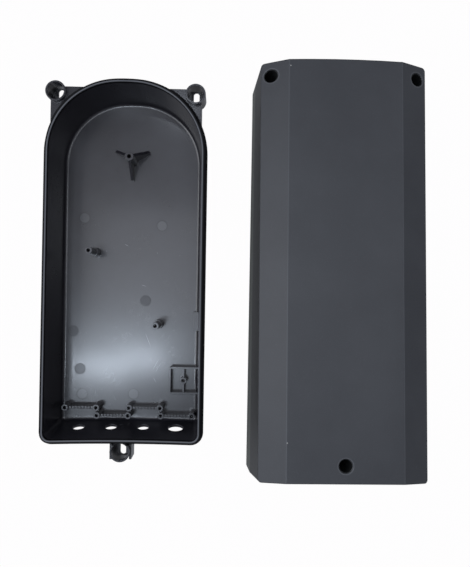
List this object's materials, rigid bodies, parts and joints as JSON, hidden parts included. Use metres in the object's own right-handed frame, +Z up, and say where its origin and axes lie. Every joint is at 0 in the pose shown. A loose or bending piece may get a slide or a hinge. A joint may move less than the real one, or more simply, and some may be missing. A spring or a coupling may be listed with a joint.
{
  "type": "injection moulded wall housing",
  "caption": "Moulded wall enclosure in two shells: open base tray with arched head, board posts, cable clamps and entries, and the deep faceted hood that screws over it.",
  "frame": {"origin": "middle of the pair, on the surface that both shells lie on", "axes": "+Z up out of the open tray, +Y towards the arched head, +X from tray to hood"},
  "size_m": [0.3588, 0.3968, 0.1038],
  "materials": {
    "tray_plastic": "black, semi-gloss, with faint flow and ejector marks",
    "hood_plastic": "dark grey, finely textured"
  },
  "bodies": {
    "root": {"base_tray": "tray_plastic", "front_hood": "hood_plastic"}
  },
  "joints": []
}
